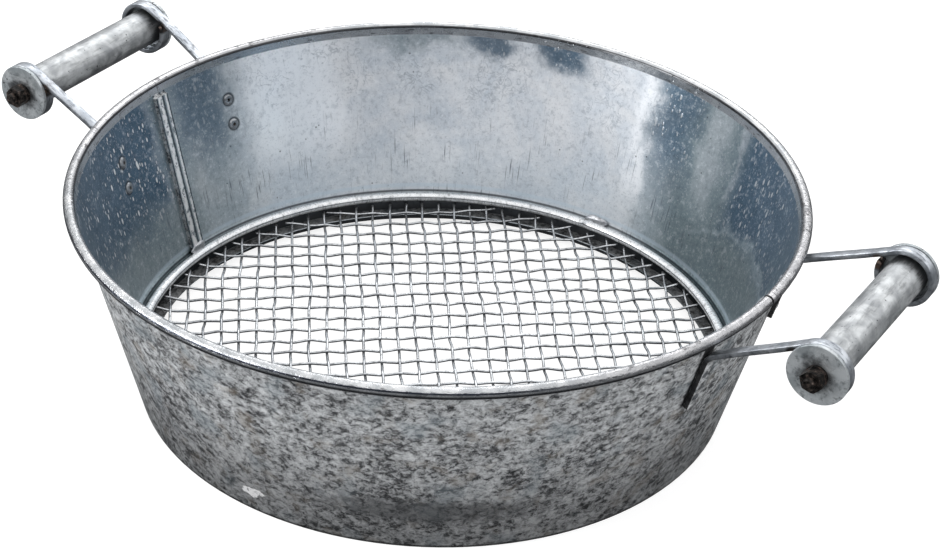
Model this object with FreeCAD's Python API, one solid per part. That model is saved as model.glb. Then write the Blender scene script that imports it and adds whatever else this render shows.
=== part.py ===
import FreeCAD, Part
import math
import os

# Soil sieve: a galvanised sheet tub with a woven wire bottom and a turning tube grip on each side.
# Millimetres. The origin is the centre of the bottom edge, +Z is up and +X points through the right
# grip. The tub is two half sheets, front (y < 0) and back, lock-seamed together at +X and -X.

V = FreeCAD.Vector
X_AXIS = V(1, 0, 0)
Y_AXIS = V(0, 1, 0)
Z_AXIS = V(0, 0, 1)
ORIGIN = V(0, 0, 0)

# Tub
SHEET = 0.6
BOTTOM_RADIUS = 154.0
BEAD_RADIUS = 2.9
BEAD_CENTRE_RADIUS = 184.1
BEAD_CENTRE_HEIGHT = 109.1
BEAD_TAIL_GAP = 0.1
RIM_WIRE_RADIUS = 2.1
HEM_HEIGHT = 5.0
FLANGE_INNER_RADIUS = 148.3
BUTT_GAP = 0.3

# Lock seam: four plies of sheet, one on the other, between the ring and the bead
SEAM_HALF_WIDTH = 4.5
PLY_GAP = 0.1
SEAM_BOTTOM = 19.0
SEAM_TOP = 105.0
SEAM_REACH = math.radians(3.0)

# Woven bottom
WIRE_RADIUS = 0.7
WIRE_GAP = 0.15
WARP_PITCH = 9.43
WARP_COUNT = 31
WARP_ANGLE = 125.8
WARP_SHIFT = -0.8
WEFT_PITCH = 10.95
WEFT_COUNT = 27
WEFT_ANGLE = 38.0
WEFT_SHIFT = 2.6
MESH_RADIUS = 154.4

# Hoop that holds the mesh down, and the solder tacks that hold the hoop
RING_WIRE_RADIUS = 2.5
RING_HEIGHT = 14.0
RING_GAP_ANGLE = 88.4
RING_GAP = 0.5
TACK_ANGLES = (86.0, 180.0, -101.5, 0.0)
TACK_SIZE = V(2.6, 4.5, 4.0)

# Strap brackets, two to a grip. The grips sit a little behind the tub's middle.
STRAP_WIDTH = 5.6
STRAP_THICKNESS = 2.8
LEG_Y = {"right_front": -42.5, "right_back": 52.5, "left_front": -44.8, "left_back": 46.6}
EYE_Y = {"front": -46.8, "back": 50.2}
LEG_BOTTOM = 65.0
LEG_CLEARANCE = 0.04
LEG_BEND_RADIUS = 7.0
BEND_STEPS = 6
ARM_RISE = {"right_front": math.radians(30.0), "right_back": math.radians(25.5),
            "left_front": math.radians(30.0), "left_back": math.radians(27.5)}
EYE_RADIUS = 13.6
EYE_TIP_ANGLE = math.radians(-200.0)
RIVET_HEIGHTS = (72.0, 86.0)
RIVET_RADIUS = 1.6
RIVET_HOLE_RADIUS = 1.65
RIVET_HEAD_RADIUS = 3.1
RIVET_SET_RADIUS = 2.3
RIVET_SET_HEIGHT = 0.5

# Grips
GRIP_X = 230.0
GRIP_Z = 112.0
TUBE_RADIUS = 10.0
TUBE_BORE_RADIUS = 8.5
TUBE_FRONT = -49.7
TUBE_BACK = 53.5
WASHER_RADIUS = 15.0
WASHER_THICKNESS = 2.0
WASHER_BORE_RADIUS = 3.3
WASHER_EDGE = 0.4
BOLT_RADIUS = 3.0
BOLT_END = 3.0
HEX_FLATS = 10.0
HEX_TURN = math.radians(12)
HEAD_THICKNESS = 4.2
NUT_THICKNESS = 5.2
COLLAR_RADIUS = 5.4
COLLAR_THICKNESS = 1.6
THREAD_CHAMFER = 0.5
NUT_BORE_RADIUS = 3.05

# The wall is a line tangent to the roll of sheet round the rim wire
roll_radius = BEAD_RADIUS - SHEET
reach_r = BEAD_CENTRE_RADIUS - BOTTOM_RADIUS
wall_angle = math.atan2(BEAD_CENTRE_HEIGHT, reach_r) + math.asin(
    roll_radius / math.hypot(reach_r, BEAD_CENTRE_HEIGHT))
wall_slope = 1 / math.tan(wall_angle)
sheet_across = SHEET / math.sin(wall_angle)


def outer_wall(z):
    """Radius of the wall's outer face at height z."""
    return BOTTOM_RADIUS + wall_slope * z


def inner_wall(z):
    """Radius of the wall's inner face at height z."""
    return outer_wall(z) - sheet_across


def at(angle, radius, z):
    """The point at an angle round the tub's axis."""
    return V(radius * math.cos(angle), radius * math.sin(angle), z)


def turned(shape, degrees):
    """A copy turned about the tub's axis."""
    copy = shape.copy()
    copy.rotate(ORIGIN, Z_AXIS, degrees)
    return copy


def polygon_face(points):
    """A plane face inside straight edges."""
    return Part.Face(Part.makePolygon(points + points[:1]))


def frustum_skin(grow, z_low, z_high):
    """A solid cone frustum inside the wall's outer face, its radius grown by a small amount."""
    return Part.makeCone(outer_wall(z_low) + grow, outer_wall(z_high) + grow, z_high - z_low,
                         V(0, 0, z_low))


def sheet_profile():
    """Section of the tub's sheet: flange, hem, sloping wall and the bead rolled round the wire."""
    centre = V(BEAD_CENTRE_RADIUS, 0, BEAD_CENTRE_HEIGHT)
    wall_normal = wall_angle + math.pi / 2
    tail = wall_normal + math.acos((roll_radius - BEAD_TAIL_GAP) / BEAD_RADIUS) - 2 * math.pi

    def on_roll(radius, angle):
        return centre + V(radius * math.cos(angle), 0, radius * math.sin(angle))

    middle = (wall_normal + tail) / 2
    ply_outer = inner_wall(0)
    ply_inner = ply_outer - sheet_across
    rise = wall_slope * HEM_HEIGHT
    bottom = [
        V(ply_inner + wall_slope * SHEET, 0, SHEET),
        V(ply_inner + rise, 0, HEM_HEIGHT),
        V(FLANGE_INNER_RADIUS, 0, HEM_HEIGHT),
        V(FLANGE_INNER_RADIUS, 0, HEM_HEIGHT + SHEET),
        V(inner_wall(HEM_HEIGHT + SHEET), 0, HEM_HEIGHT + SHEET),
        on_roll(BEAD_RADIUS, wall_normal),
    ]
    outside = [on_roll(roll_radius, wall_normal), V(BOTTOM_RADIUS, 0, 0), V(ply_inner, 0, 0), bottom[0]]
    edges = [Part.LineSegment(a, b) for a, b in zip(bottom, bottom[1:])]
    edges.append(Part.Arc(bottom[-1], on_roll(BEAD_RADIUS, middle), on_roll(BEAD_RADIUS, tail)))
    edges.append(Part.LineSegment(on_roll(BEAD_RADIUS, tail), on_roll(roll_radius, tail)))
    edges.append(Part.Arc(on_roll(roll_radius, tail), on_roll(roll_radius, middle), outside[0]))
    edges += [Part.LineSegment(a, b) for a, b in zip(outside, outside[1:])]
    return Part.Face(Part.Wire([edge.toShape() for edge in edges]))


def seam_ply(points):
    """A ply of the lock seam. Each point is an arc distance, or an end angle, and a depth."""
    wires = []
    for z in (SEAM_BOTTOM, SEAM_TOP):
        corners = []
        for place, depth in points:
            angle = place * SEAM_REACH if abs(place) == 1 else place / outer_wall(z)
            corners.append(at(angle, outer_wall(z) - depth / math.sin(wall_angle), z))
        wires.append(Part.makePolygon(corners + corners[:1]))
    return Part.makeLoft(wires, True, True)


def outside_hook():
    """The edge of a sheet that stays outside and folds back inwards, at +X, from the -Y side."""
    pitch = SHEET + PLY_GAP
    edge = SEAM_HALF_WIDTH
    free = -edge + SHEET + PLY_GAP
    return seam_ply([
        (-1, 0), (edge, 0), (edge, 2 * pitch + SHEET), (free, 2 * pitch + SHEET),
        (free, 2 * pitch), (edge - SHEET, 2 * pitch), (edge - SHEET, SHEET), (-1, SHEET)])


def inside_hook():
    """The edge of a sheet that steps inwards over the other hook and folds under it, from +Y."""
    pitch = SHEET + PLY_GAP
    edge = SEAM_HALF_WIDTH
    step = edge + PLY_GAP
    free = edge - SHEET - PLY_GAP
    return seam_ply([
        (1, 0), (step + PLY_GAP, 0), (step, 3 * pitch), (SHEET - edge, 3 * pitch),
        (SHEET - edge, pitch + SHEET), (free, pitch + SHEET), (free, pitch), (-edge, pitch),
        (-edge, 3 * pitch + SHEET), (step + SHEET, 3 * pitch + SHEET), (step + SHEET, SHEET), (1, SHEET)])


def front_sheet():
    """The half of the tub from -X round the front to +X."""
    gap_degrees = math.degrees(BUTT_GAP / 2 / BOTTOM_RADIUS)
    ring = sheet_profile().revolve(ORIGIN, Z_AXIS, 180 - 2 * gap_degrees)
    half = turned(ring, 180 + gap_degrees)
    window = polygon_face([
        V(BOTTOM_RADIUS - 10, 0, SEAM_BOTTOM), V(BEAD_CENTRE_RADIUS + 10, 0, SEAM_BOTTOM),
        V(BEAD_CENTRE_RADIUS + 10, 0, SEAM_TOP), V(BOTTOM_RADIUS - 10, 0, SEAM_TOP)])
    window = window.revolve(ORIGIN, Z_AXIS, 2 * math.degrees(SEAM_REACH))
    for middle in (0, 180):
        half = half.cut(turned(window, middle - math.degrees(SEAM_REACH)))
    half = half.fuse([outside_hook(), turned(inside_hook(), -180)])
    return half.removeSplitter()


def arc_ring(section_radius, centre_radius, z, gap, gap_degrees):
    """A hoop of round wire whose ends meet at a small gap."""
    section = Part.Face(Part.Wire(Part.makeCircle(section_radius, V(centre_radius, 0, z), Y_AXIS)))
    open_degrees = math.degrees(gap / centre_radius)
    return turned(section.revolve(ORIGIN, Z_AXIS, 360 - open_degrees), gap_degrees + open_degrees / 2)


def retaining_ring():
    """The hoop laid on the mesh against the wall."""
    inset = (RING_WIRE_RADIUS + PLY_GAP / 4) / math.sin(wall_angle)
    return arc_ring(RING_WIRE_RADIUS, inner_wall(RING_HEIGHT) - inset, RING_HEIGHT, RING_GAP,
                    RING_GAP_ANGLE)


def solder_tacks(blocked_by):
    """Lumps of solder in the corner between the hoop and the wall."""
    tacks = []
    for degrees in TACK_ANGLES:
        lump = Part.makeSphere(1)
        stretch = FreeCAD.Matrix()
        stretch.scale(TACK_SIZE)
        lump = lump.transformGeometry(stretch)
        height = RING_HEIGHT + TACK_SIZE.z
        lump.translate(V(inner_wall(height) - TACK_SIZE.x / 2, 0, height))
        lump = turned(lump, degrees).common(frustum_skin(-sheet_across, 0, BEAD_CENTRE_HEIGHT))
        lump = lump.cut(blocked_by)
        tacks.append(max(lump.Solids, key=lambda solid: solid.Volume))
    return Part.makeCompound(tacks)


def wire_set(count, pitch, degrees, shift, height):
    """Parallel straight wires cut to the tub's round."""
    direction = V(math.cos(math.radians(degrees)), math.sin(math.radians(degrees)), 0)
    across = Z_AXIS.cross(direction)
    wires = []
    for index in range(count):
        offset = (index - (count - 1) / 2) * pitch + shift
        half = math.sqrt(MESH_RADIUS ** 2 - (abs(offset) + WIRE_RADIUS) ** 2)
        start = across * offset - direction * half + V(0, 0, height)
        wires.append(Part.makeCylinder(WIRE_RADIUS, 2 * half, start, direction))
    return Part.makeCompound(wires)


def wall_seat(z, y):
    """The point on the wall's outer face, on the +X side, under a strap at y, and its normal."""
    lift = STRAP_THICKNESS / 2 + LEG_CLEARANCE
    y = y / (1 + lift * math.sin(wall_angle) / outer_wall(z))
    x = math.sqrt(outer_wall(z) ** 2 - y ** 2)
    flat = V(x, y, 0).normalize()
    normal = flat * math.sin(wall_angle) - Z_AXIS * math.cos(wall_angle)
    return V(x, y, z), normal


def strap_section(centre, along, wide):
    """The strap's cross-section as a closed wire."""
    wide = (wide - along * wide.dot(along)).normalize()
    thick = along.cross(wide)
    corners = []
    for a, b in ((-1, -1), (1, -1), (1, 1), (-1, 1)):
        corners.append(centre + wide * (a * STRAP_WIDTH / 2) + thick * (b * STRAP_THICKNESS / 2))
    return Part.makePolygon(corners + corners[:1])


def strap_bracket(leg_y, eye_y, rise):
    """A strap on the +X side: leg on the wall, bend, rising arm and an eye curled round the grip."""
    seat_z = sum(RIVET_HEIGHTS) / 2
    seat, normal = wall_seat(seat_z, leg_y)
    leg_way = Y_AXIS.cross(normal).normalize()
    leg_way = leg_way * math.copysign(1, leg_way.z)
    leg_wide = normal.cross(leg_way).normalize()
    middle = seat + normal * (STRAP_THICKNESS / 2 + LEG_CLEARANCE)
    arm_way = V(math.cos(rise), 0, math.sin(rise))
    arm_up = V(-math.sin(rise), 0, math.cos(rise))
    eye = V(GRIP_X, eye_y, GRIP_Z)
    arm_end = eye + arm_up * EYE_RADIUS

    # Where the leg's and the arm's middle lines cross, seen along Y
    to_arm = arm_end - middle
    climb = to_arm.dot(arm_up) / leg_way.dot(arm_up)
    corner = middle + leg_way * climb
    turn = math.acos(leg_way.dot(arm_way))
    cut_back = LEG_BEND_RADIUS * math.tan(turn / 2)
    leg_start = middle + leg_way * ((LEG_BOTTOM - seat_z) / leg_way.z)
    leg_end = corner - leg_way * cut_back
    leg = Part.makeLoft([strap_section(leg_start, leg_way, leg_wide),
                         strap_section(leg_end, leg_way, leg_wide)], True, True)

    # The bend also turns the strap's width from the wall's slant to level
    bend_centre = leg_end + V(leg_way.z, 0, -leg_way.x) * LEG_BEND_RADIUS
    leg_turn = math.atan2(leg_way.z, leg_way.x)
    wide_start = leg_wide * math.copysign(1, leg_wide.y)
    sections = []
    for step in range(BEND_STEPS + 1):
        share = step / BEND_STEPS
        angle = leg_turn - turn * share
        way = V(math.cos(angle), 0, math.sin(angle))
        centre = bend_centre + V(-math.sin(angle), 0, math.cos(angle)) * LEG_BEND_RADIUS
        sections.append(strap_section(centre, way, wide_start * (1 - share) + Y_AXIS * share))
    bend = Part.makeLoft(sections, True, True)

    # The arm runs on from the bend to the eye and leans outwards on the way
    arm = Part.makeLoft([sections[-1], strap_section(arm_end, arm_way, Y_AXIS)], True, True)

    start_angle = math.pi / 2 + rise
    curl_middle = (start_angle + EYE_TIP_ANGLE) / 2
    side = Y_AXIS * (-STRAP_WIDTH / 2)

    def on_eye(radius, angle):
        return eye + V(radius * math.cos(angle), 0, radius * math.sin(angle)) + side

    outer = EYE_RADIUS + STRAP_THICKNESS / 2
    inner = EYE_RADIUS - STRAP_THICKNESS / 2
    edges = [
        Part.Arc(on_eye(outer, start_angle), on_eye(outer, curl_middle), on_eye(outer, EYE_TIP_ANGLE)),
        Part.LineSegment(on_eye(outer, EYE_TIP_ANGLE), on_eye(inner, EYE_TIP_ANGLE)),
        Part.Arc(on_eye(inner, EYE_TIP_ANGLE), on_eye(inner, curl_middle), on_eye(inner, start_angle)),
        Part.LineSegment(on_eye(inner, start_angle), on_eye(outer, start_angle)),
    ]
    curl = Part.Face(Part.Wire([edge.toShape() for edge in edges])).extrude(Y_AXIS * STRAP_WIDTH)
    return leg.fuse([bend, arm, curl]).removeSplitter()


def rivet_at(z, y, rivet_profile):
    """A revolved shape set on the wall, its axis along the wall's normal on the +X side."""
    seat, normal = wall_seat(z, y)
    shape = rivet_profile.copy()
    shape.Placement = FreeCAD.Placement(seat, FreeCAD.Rotation(Z_AXIS, normal))
    return shape


def hollow_rivet():
    """A rivet along +Z: hollow head inside the tub, set almost flush outside the strap."""
    grip_out = STRAP_THICKNESS + 2 * LEG_CLEARANCE
    head_seat = -SHEET - LEG_CLEARANCE
    head_top = head_seat - 1.0
    set_top = grip_out + RIVET_SET_HEIGHT
    hollow = 0.95
    edges = [
        Part.LineSegment(V(0, 0, -SHEET), V(hollow, 0, -SHEET)),
        Part.LineSegment(V(hollow, 0, -SHEET), V(hollow, 0, head_top)),
        Part.LineSegment(V(hollow, 0, head_top), V(1.7, 0, head_top)),
        Part.Arc(V(1.7, 0, head_top), V(2.75, 0, head_top + 0.35), V(RIVET_HEAD_RADIUS, 0, head_seat)),
        Part.LineSegment(V(RIVET_HEAD_RADIUS, 0, head_seat), V(RIVET_RADIUS, 0, head_seat)),
        Part.LineSegment(V(RIVET_RADIUS, 0, head_seat), V(RIVET_RADIUS, 0, grip_out)),
        Part.LineSegment(V(RIVET_RADIUS, 0, grip_out), V(RIVET_SET_RADIUS, 0, grip_out)),
        Part.Arc(V(RIVET_SET_RADIUS, 0, grip_out), V(RIVET_RADIUS, 0, grip_out + 0.7 * RIVET_SET_HEIGHT),
                 V(hollow, 0, set_top)),
        Part.LineSegment(V(hollow, 0, set_top), V(0, 0, set_top)),
        Part.LineSegment(V(0, 0, set_top), V(0, 0, -SHEET)),
    ]
    face = Part.Face(Part.Wire([edge.toShape() for edge in edges]))
    return face.revolve(ORIGIN, Z_AXIS, 360)


def along_y(radius, y_low, y_high, x):
    """A cylinder on the grip's axis."""
    return Part.makeCylinder(radius, y_high - y_low, V(x, y_low, GRIP_Z), Y_AXIS)


def hexagon(y_low, thickness, x):
    """A hexagonal block on the grip's axis with its +Y edges chamfered by a cone."""
    across_corners = HEX_FLATS / math.cos(math.pi / 6)
    points = []
    for corner in range(6):
        angle = corner * math.pi / 3 + HEX_TURN
        points.append(V(x + across_corners / 2 * math.cos(angle), y_low,
                        GRIP_Z + across_corners / 2 * math.sin(angle)))
    block = polygon_face(points).extrude(Y_AXIS * thickness)
    chamfer = (across_corners - HEX_FLATS) / 2
    base = across_corners / 2 + 0.01
    body = along_y(base, y_low, y_low + thickness - chamfer / 2, x)
    cone = Part.makeCone(base, base - chamfer, chamfer / 2, V(x, y_low + thickness - chamfer / 2, GRIP_Z),
                         Y_AXIS)
    return block.common(body.fuse(cone))


def washer(y_low, x):
    """A flat washer with a slightly rounded rim."""
    disc = along_y(WASHER_RADIUS, y_low, y_low + WASHER_THICKNESS, x)
    rims = [edge for edge in disc.Edges if edge.Closed and isinstance(edge.Curve, Part.Circle)]
    disc = disc.makeFillet(WASHER_EDGE, rims)
    return disc.cut(along_y(WASHER_BORE_RADIUS, y_low, y_low + WASHER_THICKNESS, x))


def grip_parts(x):
    """The tube, the bolt through it, its nut and the two washers clamped on the tube's ends."""
    front_face = TUBE_FRONT - WASHER_THICKNESS
    back_face = TUBE_BACK + WASHER_THICKNESS
    tube = along_y(TUBE_RADIUS, TUBE_FRONT, TUBE_BACK, x)
    tube = tube.cut(along_y(TUBE_BORE_RADIUS, TUBE_FRONT, TUBE_BACK, x))
    thread_end = front_face - COLLAR_THICKNESS - NUT_THICKNESS - BOLT_END
    bolt = along_y(BOLT_RADIUS, thread_end, back_face, x)
    bolt = bolt.makeChamfer(THREAD_CHAMFER, [edge for edge in bolt.Edges
                                             if edge.Closed and edge.CenterOfMass.y < front_face])
    bolt = bolt.fuse(hexagon(back_face, HEAD_THICKNESS, x)).removeSplitter()
    nut = hexagon(COLLAR_THICKNESS, NUT_THICKNESS, x).fuse(along_y(COLLAR_RADIUS, 0, COLLAR_THICKNESS, x))
    nut.rotate(V(x, 0, GRIP_Z), Z_AXIS, 180)
    nut.translate(V(0, front_face, 0))
    nut = nut.cut(along_y(NUT_BORE_RADIUS, thread_end, 0, x))
    return {"grip_tube": tube, "grip_bolt": bolt, "grip_nut": nut,
            "washer_front": washer(front_face, x), "washer_back": washer(TUBE_BACK, x)}


def build():
    """Every node's shape, by name."""
    nodes = {}
    front = front_sheet()
    back = turned(front, 180)
    ring = retaining_ring()
    hole = Part.makeCylinder(RIVET_HOLE_RADIUS, 20, V(0, 0, -10), Z_AXIS)
    rivet = hollow_rivet()
    for side, degrees, x in (("right", 0, GRIP_X), ("left", 180, -GRIP_X)):
        for end in ("front", "back"):
            # The left brackets are made on the right and turned by half a turn, so their y is opposite
            flip = 1 if side == "right" else -1
            leg_y = flip * LEG_Y[f"{side}_{end}"]
            holes = Part.makeCompound([rivet_at(z, leg_y, hole) for z in RIVET_HEIGHTS])
            rivets = Part.makeCompound([rivet_at(z, leg_y, rivet) for z in RIVET_HEIGHTS])
            bracket = strap_bracket(leg_y, flip * EYE_Y[end], ARM_RISE[f"{side}_{end}"]).cut(holes)
            if end == "front":
                front = front.cut(turned(holes, degrees))
            else:
                back = back.cut(turned(holes, degrees))
            nodes[f"bracket_{side}_{end}"] = turned(bracket, degrees)
            nodes[f"rivets_{side}_{end}"] = turned(rivets, degrees)
        for name, shape in grip_parts(x).items():
            if name.startswith("washer"):
                name = name.replace("washer", f"washer_{side}")
            else:
                name = f"{name}_{side}"
            nodes[name] = shape
    nodes["wall_sheet_front"] = front
    nodes["wall_sheet_back"] = back
    nodes["rim_wire"] = arc_ring(RIM_WIRE_RADIUS, BEAD_CENTRE_RADIUS, BEAD_CENTRE_HEIGHT, RING_GAP, 45)
    nodes["mesh_retaining_ring"] = ring
    nodes["solder_tacks"] = solder_tacks([front, back, ring])
    warp_height = HEM_HEIGHT + SHEET + WIRE_GAP / 2 + WIRE_RADIUS
    weft_height = warp_height + 2 * WIRE_RADIUS + WIRE_GAP
    nodes["mesh_warp_wires"] = wire_set(WARP_COUNT, WARP_PITCH, WARP_ANGLE, WARP_SHIFT, warp_height)
    nodes["mesh_weft_wires"] = wire_set(WEFT_COUNT, WEFT_PITCH, WEFT_ANGLE, WEFT_SHIFT, weft_height)
    return nodes


os.makedirs("parts", exist_ok=True)
for node, shape in sorted(build().items()):
    print(f"{node}: {len(shape.Solids)} solids, {shape.Volume:.0f} mm3, valid {shape.isValid()}")
    shape.exportStep(f"parts/{node}.step")
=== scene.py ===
"""Soil sieve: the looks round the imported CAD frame. Sizes are in metres, in the CAD's own frame.

The CAD's sheets, tubes, washers, bolts and rivets stay and get their finish here. The woven wires, the
hoop, its solder and the strap brackets are built again as finer pieces.
"""
import math
import random

import bpy
from mathutils import Matrix, Vector, noise


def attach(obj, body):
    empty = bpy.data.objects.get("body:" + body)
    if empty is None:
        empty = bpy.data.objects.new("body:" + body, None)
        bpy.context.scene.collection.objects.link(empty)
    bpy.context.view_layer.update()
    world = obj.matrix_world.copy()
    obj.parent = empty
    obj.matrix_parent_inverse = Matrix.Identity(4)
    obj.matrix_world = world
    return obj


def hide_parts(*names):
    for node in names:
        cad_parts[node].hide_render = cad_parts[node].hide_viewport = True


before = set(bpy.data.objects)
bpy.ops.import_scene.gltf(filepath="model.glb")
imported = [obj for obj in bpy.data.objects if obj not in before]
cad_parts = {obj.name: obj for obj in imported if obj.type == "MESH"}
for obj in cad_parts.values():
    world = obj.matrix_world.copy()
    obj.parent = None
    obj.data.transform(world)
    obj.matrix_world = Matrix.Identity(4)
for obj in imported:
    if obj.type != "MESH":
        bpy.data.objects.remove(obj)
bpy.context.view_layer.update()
MM = 0.001
rng = random.Random(7)

# ---------------- sizes shared with the CAD
BOTTOM_RADIUS = 154.0 * MM
WALL_SLOPE = 0.2560
WALL_ANGLE = math.atan2(1, WALL_SLOPE)
MEAN_WALL_RADIUS = 168 * MM
GRIP_X = 230 * MM
GRIP_Z = 112 * MM
TUBE_MIDDLE = 1.7 * MM
WIRE_RADIUS = 0.72 * MM
MESH_HEIGHT = 7.3 * MM
RING_HEIGHT = 14 * MM
RING_WIRE_RADIUS = 2.5 * MM
RING_RADIUS = 154.15 * MM
STRAP_WIDTH = 5.6 * MM
STRAP_THICKNESS = 2.8 * MM
EYE_RADIUS = 13.6 * MM
EYE_Y = {"front": -46.8 * MM, "back": 50.2 * MM}
LEG_Y = {
    "right_front": -42.5 * MM,
    "right_back": 52.5 * MM,
    "left_front": -44.8 * MM,
    "left_back": 46.6 * MM,
}
ARM_RISE = {
    "right_front": math.radians(30.0),
    "right_back": math.radians(25.5),
    "left_front": math.radians(30.0),
    "left_back": math.radians(27.5),
}
LEG_BOTTOM = 65 * MM
LEG_LIFT = STRAP_THICKNESS / 2 + 0.04 * MM
RIVET_HEIGHTS = (72 * MM, 86 * MM)
SIDES = (("right", 1), ("left", -1))
ENDS = ("front", "back")
UP = Vector((0, 0, 1))
FORE = Vector((0, 1, 0))


def outer_wall(z):
    """The radius of the wall's outside at a height."""
    return BOTTOM_RADIUS + WALL_SLOPE * z


def polar(angle, radius, z):
    """A point given by its angle round from the +X axis, its distance from Z and its height."""
    return Vector((radius * math.cos(angle), radius * math.sin(angle), z))


def wall_seat(leg_y, z):
    """Where a leg whose middle is at leg_y meets the wall's outside at +X, and the wall's normal."""
    radius = outer_wall(z)
    seat_y = leg_y / (1 + LEG_LIFT * math.sin(WALL_ANGLE) / radius)
    flat = Vector((math.sqrt(radius ** 2 - seat_y ** 2), seat_y, 0))
    normal = flat.normalized() * math.sin(WALL_ANGLE) - UP * math.cos(WALL_ANGLE)
    return flat + UP * z, normal


# ---------------- studio
CAMERA_PLACE = Vector((0.50210, -0.81572, 0.64752))
CAMERA_AZIMUTH = math.radians(30.53)
CAMERA_PITCH = math.radians(31.72)
CAMERA_ROLL = math.radians(2.63)
CAMERA_LENS = 83.24


def add_camera():
    """Looks down at the sieve from the front right, a little rolled."""
    pitch, roll = CAMERA_PITCH, CAMERA_ROLL
    up = Vector((0, math.sin(pitch), math.cos(pitch)))
    forward = Vector((0, math.cos(pitch), -math.sin(pitch)))
    side = Vector((1, 0, 0))
    right = side * math.cos(roll) + up * math.sin(roll)
    top = up * math.cos(roll) - side * math.sin(roll)
    turn = Matrix.Rotation(CAMERA_AZIMUTH, 3, "Z")
    axes = Matrix((turn @ right, turn @ top, turn @ -forward)).transposed()
    data = bpy.data.cameras.new("camera")
    data.sensor_width = 36.0
    data.lens = CAMERA_LENS
    camera = bpy.data.objects.new("camera", data)
    camera.matrix_world = Matrix.Translation(CAMERA_PLACE) @ axes.to_4x4()
    bpy.context.scene.collection.objects.link(camera)
    bpy.context.scene.camera = camera


class Graph:
    """A node tree with short calls for the nodes used here. Values are numbers, tuples or sockets."""

    def __init__(self, tree):
        self.tree = tree

    def node(self, kind, **settings):
        made = self.tree.nodes.new(kind)
        for key, value in settings.items():
            setattr(made, key, value)
        return made

    def feed(self, socket, value):
        """Links an input to a socket, or sets its value."""
        if isinstance(value, bpy.types.NodeSocket):
            self.tree.links.new(value, socket)
        elif isinstance(value, tuple) and len(value) == 3 and socket.type == "RGBA":
            socket.default_value = (*value, 1)
        else:
            socket.default_value = value

    def math(self, operation, a, b=0.0, c=0.0):
        made = self.node("ShaderNodeMath", operation=operation)
        for socket, value in zip(made.inputs, (a, b, c)):
            self.feed(socket, value)
        return made.outputs[0]

    def vector(self, operation, a, b=(0.0, 0.0, 0.0)):
        """A vector operation: its vector, or its number where it gives one."""
        made = self.node("ShaderNodeVectorMath", operation=operation)
        self.feed(made.inputs[0], a)
        self.feed(made.inputs[1], b)
        gives_number = operation in ("DOT_PRODUCT", "LENGTH", "DISTANCE")
        return made.outputs["Value" if gives_number else "Vector"]

    def times(self, first, *others):
        """The product of the values."""
        for other in others:
            first = self.math("MULTIPLY", first, other)
        return first

    def most(self, a, b):
        return self.math("MAXIMUM", a, b)

    def apart(self, a, b):
        """How far a value is from another, without its sign."""
        return self.math("ABSOLUTE", self.math("SUBTRACT", a, b))

    def fray(self, value, grain, width):
        """A value moved to and fro by a noise, for a ragged edge."""
        return self.math("MULTIPLY_ADD", self.math("SUBTRACT", grain, 0.5), width, value)

    def smooth(self, value, low, high, to_low=0.0, to_high=1.0):
        """Eases from to_low to to_high while the value goes from low to high."""
        made = self.node("ShaderNodeMapRange", interpolation_type="SMOOTHSTEP")
        for socket, part in zip(made.inputs, (value, low, high, to_low, to_high)):
            self.feed(socket, part)
        return made.outputs[0]

    def mix(self, share, a, b, blend="MIX"):
        """Colour a, with a share of colour b over it."""
        made = self.node("ShaderNodeMix", data_type="RGBA", blend_type=blend)
        self.feed(made.inputs[0], share)
        self.feed(made.inputs[6], a)
        self.feed(made.inputs[7], b)
        return made.outputs[2]

    def blend(self, share, a, b):
        """Number a, going over to number b with the share."""
        made = self.node("ShaderNodeMix", data_type="FLOAT")
        self.feed(made.inputs[0], share)
        self.feed(made.inputs[2], a)
        self.feed(made.inputs[3], b)
        return made.outputs[0]

    def ramp(self, value, stops):
        """The colour that a value has between stops of (value, colour)."""
        made = self.node("ShaderNodeValToRGB")
        self.feed(made.inputs[0], value)
        points = made.color_ramp.elements
        while len(points) < len(stops):
            points.new(0.5)
        for point, (place, colour) in zip(points, stops):
            point.position = place
            point.color = (*colour, 1)
        return made.outputs[0]

    def noise(self, vector, size, detail=3.0, roughness=0.5, distortion=0.0):
        """Noise whose lumps are about size metres across."""
        made = self.node("ShaderNodeTexNoise")
        for name, value in (("Vector", vector), ("Scale", 1 / size), ("Detail", detail),
                            ("Roughness", roughness), ("Distortion", distortion)):
            self.feed(made.inputs[name], value)
        return made.outputs[0]

    def cells(self, vector, size):
        """Voronoi cells about size metres across: the distance, in cells, and each cell's colour."""
        made = self.node("ShaderNodeTexVoronoi", feature="F1")
        self.feed(made.inputs["Vector"], vector)
        self.feed(made.inputs["Scale"], 1 / size)
        return made.outputs["Distance"], made.outputs["Color"]

    def xyz(self, vector):
        made = self.node("ShaderNodeSeparateXYZ")
        self.feed(made.inputs[0], vector)
        return made.outputs

    def join(self, x, y, z):
        made = self.node("ShaderNodeCombineXYZ")
        for socket, value in zip(made.inputs, (x, y, z)):
            self.feed(socket, value)
        return made.outputs[0]

    def bump(self, height, strength, distance):
        made = self.node("ShaderNodeBump")
        self.feed(made.inputs["Height"], height)
        made.inputs["Strength"].default_value = strength
        made.inputs["Distance"].default_value = distance
        return made.outputs[0]


SKY_STRENGTH = 1.15


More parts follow.
